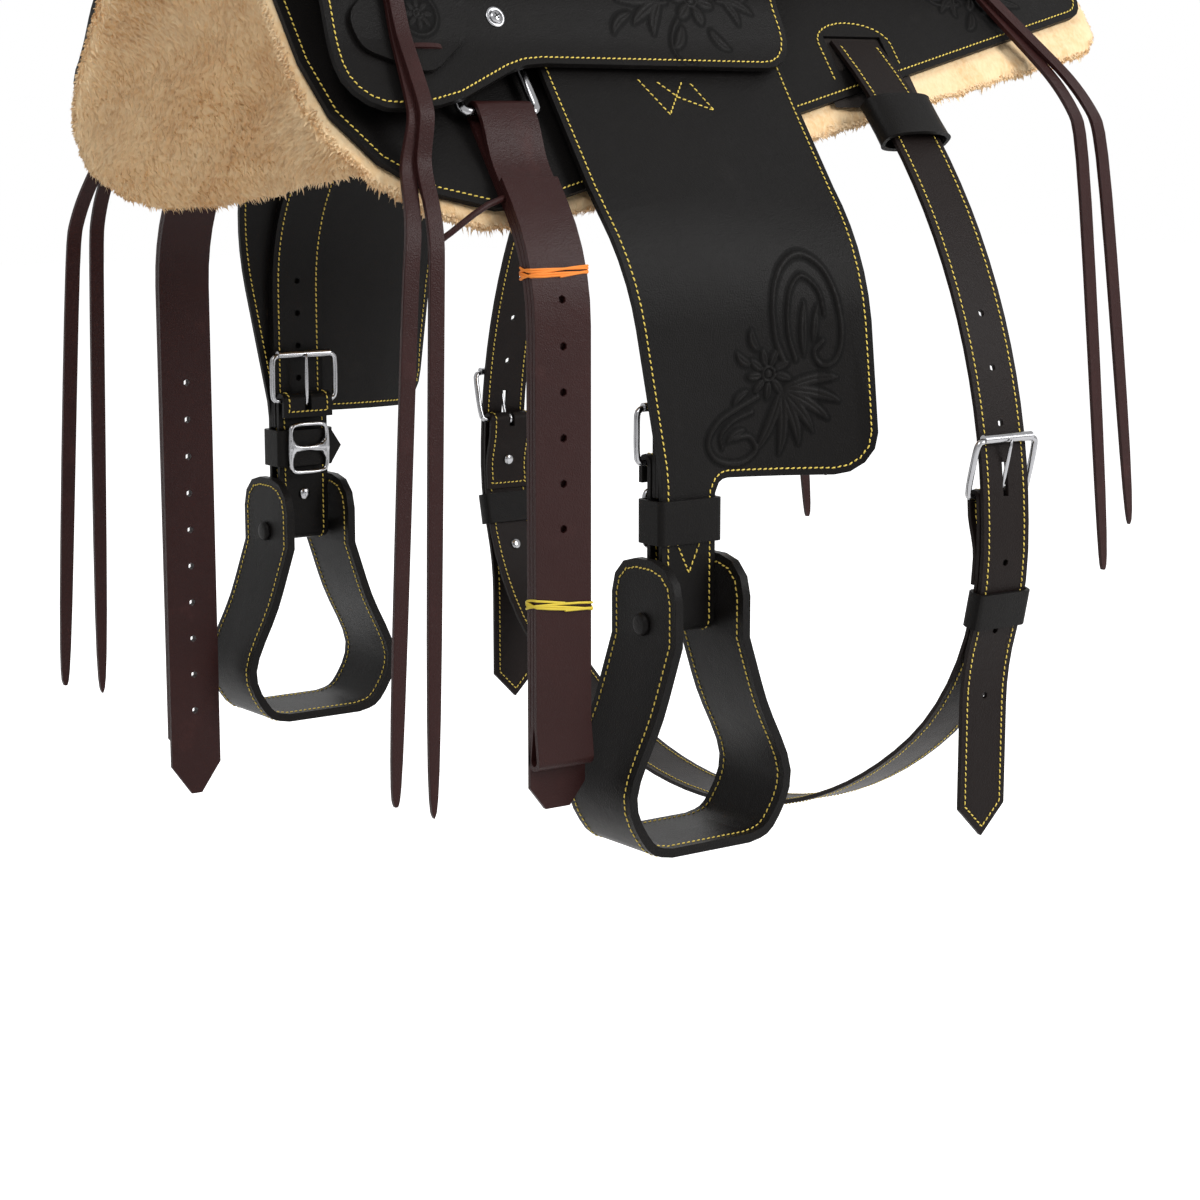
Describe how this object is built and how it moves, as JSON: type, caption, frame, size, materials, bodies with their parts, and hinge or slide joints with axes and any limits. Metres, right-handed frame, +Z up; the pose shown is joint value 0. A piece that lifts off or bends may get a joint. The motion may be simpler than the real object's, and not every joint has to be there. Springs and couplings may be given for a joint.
{
  "type": "western saddle",
  "caption": "Small western pony saddle with horn, cantle, fleece-lined skirts, fenders with swinging stirrups, front latigo and billet, and a buckled flank cinch.",
  "frame": {"origin": "on the middle plane where the line of the pony's spine meets the underside, level with the seat's low point", "axes": "+X to the pony's left (near side), -Y towards the horn, +Z up"},
  "size_m": [0.5912, 0.687, 0.8667],
  "materials": {
    "black_leather": "satin, tooled",
    "latigo_leather": "oiled",
    "seat_suede": "suede",
    "fleece": "woolly",
    "rawhide": "rawhide covered",
    "chrome": "polished"
  },
  "bodies": {
    "saddle": {"tree_bar_near": "rawhide", "tree_bar_off": "rawhide", "tree_fork": "rawhide", "fork_cover": "black_leather", "horn_core": "rawhide", "horn_cover": "black_leather", "tree_cantle": "rawhide", "cantle_roll": "black_leather", "ground_seat": "rawhide", "seat": "seat_suede", "fleece_near": "fleece", "skirt_near": "black_leather", "fleece_off": "fleece", "skirt_off": "black_leather", "jockey_near": "black_leather", "jockey_off": "black_leather", "rear_jockey": "black_leather", "rigging_near": "black_leather", "rigging_dee_near": "chrome", "rigging_off": "black_leather", "rigging_dee_off": "chrome", "concho_plate_near": "black_leather", "string_dee_near": "chrome", "front_strings_near": "latigo_leather", "rear_strings_near": "latigo_leather", "concho_plate_off": "black_leather", "string_dee_off": "chrome", "front_strings_off": "latigo_leather", "rear_strings_off": "latigo_leather", "screw_near": "chrome", "rear_concho_near": "chrome", "screw_off": "chrome", "rear_concho_off": "chrome"},
    "fender_leather_near": {"fender_near": "black_leather", "stirrup_leather_near": "black_leather", "leather_buckle_near": "chrome", "hobble_near": "black_leather", "hobble_buckle_near": "chrome"},
    "stirrup_set_near": {"stirrup_near": "black_leather", "stirrup_bolt_near": "chrome"},
    "leather_tongue_near": {"leather_tongue_near": "chrome"},
    "fender_leather_off": {"fender_off": "black_leather", "stirrup_leather_off": "black_leather", "leather_buckle_off": "chrome", "hobble_off": "black_leather", "hobble_buckle_off": "chrome"},
    "stirrup_set_off": {"stirrup_off": "black_leather", "stirrup_bolt_off": "chrome"},
    "leather_tongue_off": {"leather_tongue_off": "chrome"},
    "latigo": {"latigo": "latigo_leather"},
    "off_billet": {"off_billet": "latigo_leather"},
    "flank_strap": {"flank_cinch": "latigo_leather", "flank_billet_near": "latigo_leather", "flank_buckle_near": "chrome", "flank_keeper_near": "latigo_leather", "flank_billet_off": "latigo_leather", "flank_buckle_off": "chrome", "flank_keeper_off": "latigo_leather"},
    "flank_tongue_near": {"flank_tongue_near": "chrome"},
    "flank_tongue_off": {"flank_tongue_off": "chrome"}
  },
  "joints": [
    {"name": "fender_swing_near", "type": "hinge", "parent": "saddle", "child": "fender_leather_near", "pos_m": [0.12596, -0.018, -0.08235], "axis": [0.809, 0, 0.5878], "range_deg": [-1, 12]},
    {"name": "fender_swing_off", "type": "hinge", "parent": "saddle", "child": "fender_leather_off", "pos_m": [-0.12596, -0.018, -0.08235], "axis": [0.809, 0, -0.5878], "range_deg": [-1, 12]},
    {"name": "stirrup_pivot_near", "type": "hinge", "parent": "fender_leather_near", "child": "stirrup_set_near", "pos_m": [0.23447, -0.018, -0.46267], "axis": [0, 1, 0], "range_deg": [-30, 30]},
    {"name": "stirrup_pivot_off", "type": "hinge", "parent": "fender_leather_off", "child": "stirrup_set_off", "pos_m": [-0.23447, -0.018, -0.46267], "axis": [0, 1, 0], "range_deg": [-30, 30]},
    {"name": "leather_tongue_hinge_near", "type": "hinge", "parent": "fender_leather_near", "child": "leather_tongue_near", "pos_m": [0.22427, -0.018, -0.36567], "axis": [0, -1, 0], "range_deg": [0, 100]},
    {"name": "leather_tongue_hinge_off", "type": "hinge", "parent": "fender_leather_off", "child": "leather_tongue_off", "pos_m": [-0.22427, -0.018, -0.36567], "axis": [0, 1, 0], "range_deg": [0, 100]},
    {"name": "latigo_swing", "type": "hinge", "parent": "saddle", "child": "latigo", "pos_m": [0.17727, -0.111, -0.15508], "axis": [0, -1, 0], "range_deg": [0, 40]},
    {"name": "off_billet_swing", "type": "hinge", "parent": "saddle", "child": "off_billet", "pos_m": [-0.17727, -0.111, -0.15508], "axis": [0, 1, 0], "range_deg": [0, 40]},
    {"name": "flank_swing", "type": "hinge", "parent": "saddle", "child": "flank_strap", "pos_m": [0, 0.203, -0.11613], "axis": [1, 0, 0], "range_deg": [-8, 8]},
    {"name": "flank_tongue_hinge_near", "type": "hinge", "parent": "flank_strap", "child": "flank_tongue_near", "pos_m": [0.28043, 0.203, -0.3988], "axis": [0, 1, 0], "range_deg": [0, 6]},
    {"name": "flank_tongue_hinge_off", "type": "hinge", "parent": "flank_strap", "child": "flank_tongue_off", "pos_m": [-0.28043, 0.203, -0.3988], "axis": [0, -1, 0], "range_deg": [0, 6]}
  ]
}
